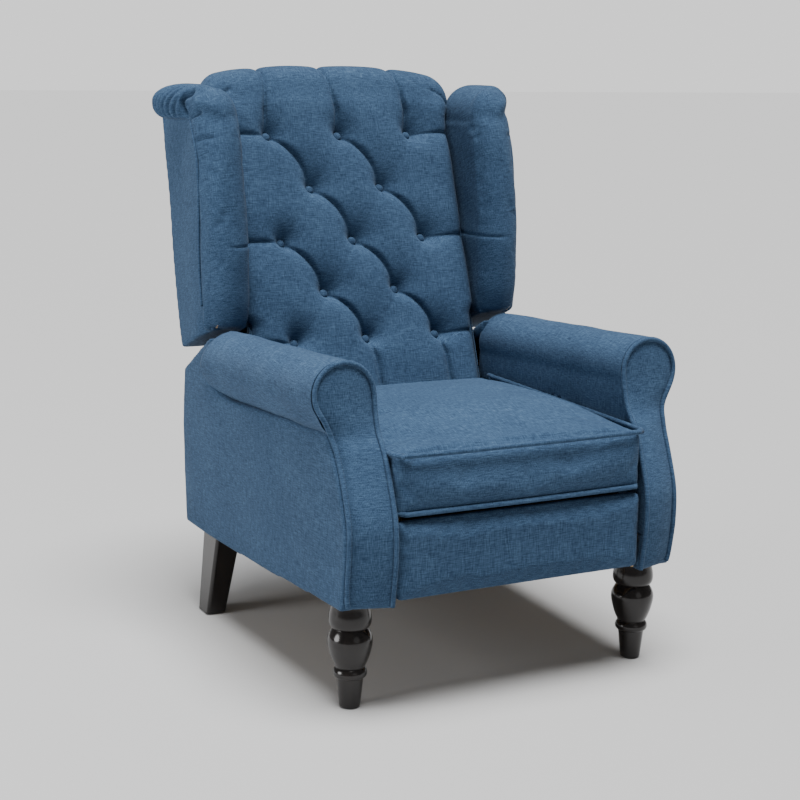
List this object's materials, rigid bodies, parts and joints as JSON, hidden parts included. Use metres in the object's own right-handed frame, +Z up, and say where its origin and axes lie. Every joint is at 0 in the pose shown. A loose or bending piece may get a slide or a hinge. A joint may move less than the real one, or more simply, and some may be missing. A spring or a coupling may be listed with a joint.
{
  "type": "recliner armchair",
  "caption": "Push-back recliner armchair with a button-tufted back, scrolled wings, rolled arms, a box seat cushion and turned front legs; the front panel swings out as a footrest.",
  "frame": {"origin": "on the floor, under the middle of the chair at rest", "axes": "+Z up; the chair faces -Y; +X is on the viewer's right when the chair is seen from the front"},
  "size_m": [0.739, 0.8605, 1.0212],
  "materials": {
    "navy_fabric": "slubby linen-look weave",
    "black_lacquer": "gloss black lacquer",
    "frame_wood": "planed pine and plywood",
    "zinc_steel": "zinc plated",
    "black_steel": "satin black powder coat",
    "glide_plastic": "matt nylon",
    "webbing": "woven black webbing and felt"
  },
  "bodies": {
    "base": {"arm_bottom_rails": "frame_wood", "arm_inner_panels": "navy_fabric", "arm_posts": "frame_wood", "arm_rear_pads": "navy_fabric", "arm_rear_panels": "navy_fabric", "arm_top_rails": "frame_wood", "base_stretcher": "frame_wood", "hanger_bolts": "zinc_steel", "left_arm_facing": "navy_fabric", "left_arm_outer_panel": "navy_fabric", "left_arm_roll": "navy_fabric", "left_front_leg": "black_lacquer", "left_rear_leg": "black_lacquer", "leg_blocks": "frame_wood", "leg_glides": "glide_plastic", "mech_base_plates": "black_steel", "rear_rail": "frame_wood", "rear_rail_cover": "navy_fabric", "right_arm_facing": "navy_fabric", "right_arm_outer_panel": "navy_fabric", "right_arm_roll": "navy_fabric", "right_front_leg": "black_lacquer", "right_rear_leg": "black_lacquer", "rocker_foot_rivets": "zinc_steel"},
    "front_rockers": {"front_rocker_links": "black_steel"},
    "rear_rockers": {"rear_rocker_links": "black_steel"},
    "seat": {"seat_side_plates": "black_steel", "seat_frame_rails": "frame_wood", "seat_spacers": "zinc_steel", "rocker_top_rivets": "zinc_steel", "seat_springs": "zinc_steel", "spring_clips": "zinc_steel", "seat_deck": "webbing", "seat_cushion": "navy_fabric", "thigh_rivets": "zinc_steel", "back_hinge_pins": "zinc_steel"},
    "thigh": {"thigh_links": "black_steel", "torque_tube": "black_steel", "knee_rivets": "zinc_steel"},
    "shin": {"shin_links": "black_steel", "ankle_rivets": "zinc_steel"},
    "footrest": {"footrest_brackets": "black_steel", "footrest_board": "frame_wood", "footrest_pad": "navy_fabric"},
    "back": {"back_brackets": "black_steel", "back_stiles": "frame_wood", "back_rails": "frame_wood", "back_webbing": "webbing", "back_pad": "navy_fabric", "back_buttons": "navy_fabric", "back_top_pad": "navy_fabric", "outer_back_panel": "navy_fabric", "left_wing_frame": "frame_wood", "left_wing_pad": "navy_fabric", "left_wing_outer_panel": "navy_fabric", "left_wing_scroll": "navy_fabric", "right_wing_frame": "frame_wood", "right_wing_pad": "navy_fabric", "right_wing_outer_panel": "navy_fabric", "right_wing_scroll": "navy_fabric"}
  },
  "joints": [
    {"name": "back_recline", "type": "hinge", "parent": "seat", "child": "back", "pos_m": [0, 0.21, 0.333], "axis": [-1, 0, 0], "range_deg": [0, 30]},
    {"name": "front_rocker_swing", "type": "hinge", "parent": "base", "child": "front_rockers", "pos_m": [0, -0.14177, 0.20867], "axis": [1, 0, 0], "range_deg": [0, 30.1]},
    {"name": "rear_rocker_swing", "type": "hinge", "parent": "base", "child": "rear_rockers", "pos_m": [0, 0.10823, 0.20867], "axis": [1, 0, 0], "range_deg": [0, 30.1]},
    {"name": "seat_level", "type": "hinge", "parent": "front_rockers", "child": "seat", "pos_m": [0, -0.12, 0.296], "axis": [1, 0, 0], "range_deg": [-30.1, 0]},
    {"name": "thigh_swing", "type": "hinge", "parent": "seat", "child": "thigh", "pos_m": [0, -0.3, 0.3], "axis": [-1, 0, 0], "range_deg": [0, 156.4]},
    {"name": "knee_fold", "type": "hinge", "parent": "thigh", "child": "shin", "pos_m": [0, -0.17443, 0.26635], "axis": [-1, 0, 0], "range_deg": [-126.3, 0]},
    {"name": "footrest_tilt", "type": "hinge", "parent": "shin", "child": "footrest", "pos_m": [0, -0.372, 0.235], "axis": [-1, 0, 0], "range_deg": [0, 60.1]}
  ],
  "couplings": [
    {"joint": "front_rocker_swing", "follows": "back_recline", "ratio": 1},
    {"joint": "rear_rocker_swing", "follows": "back_recline", "ratio": 1},
    {"joint": "seat_level", "follows": "back_recline", "ratio": -1},
    {"joint": "thigh_swing", "follows": "back_recline", "ratio": 5.2067},
    {"joint": "knee_fold", "follows": "back_recline", "ratio": -4.2033},
    {"joint": "footrest_tilt", "follows": "back_recline", "ratio": 1.9967}
  ]
}
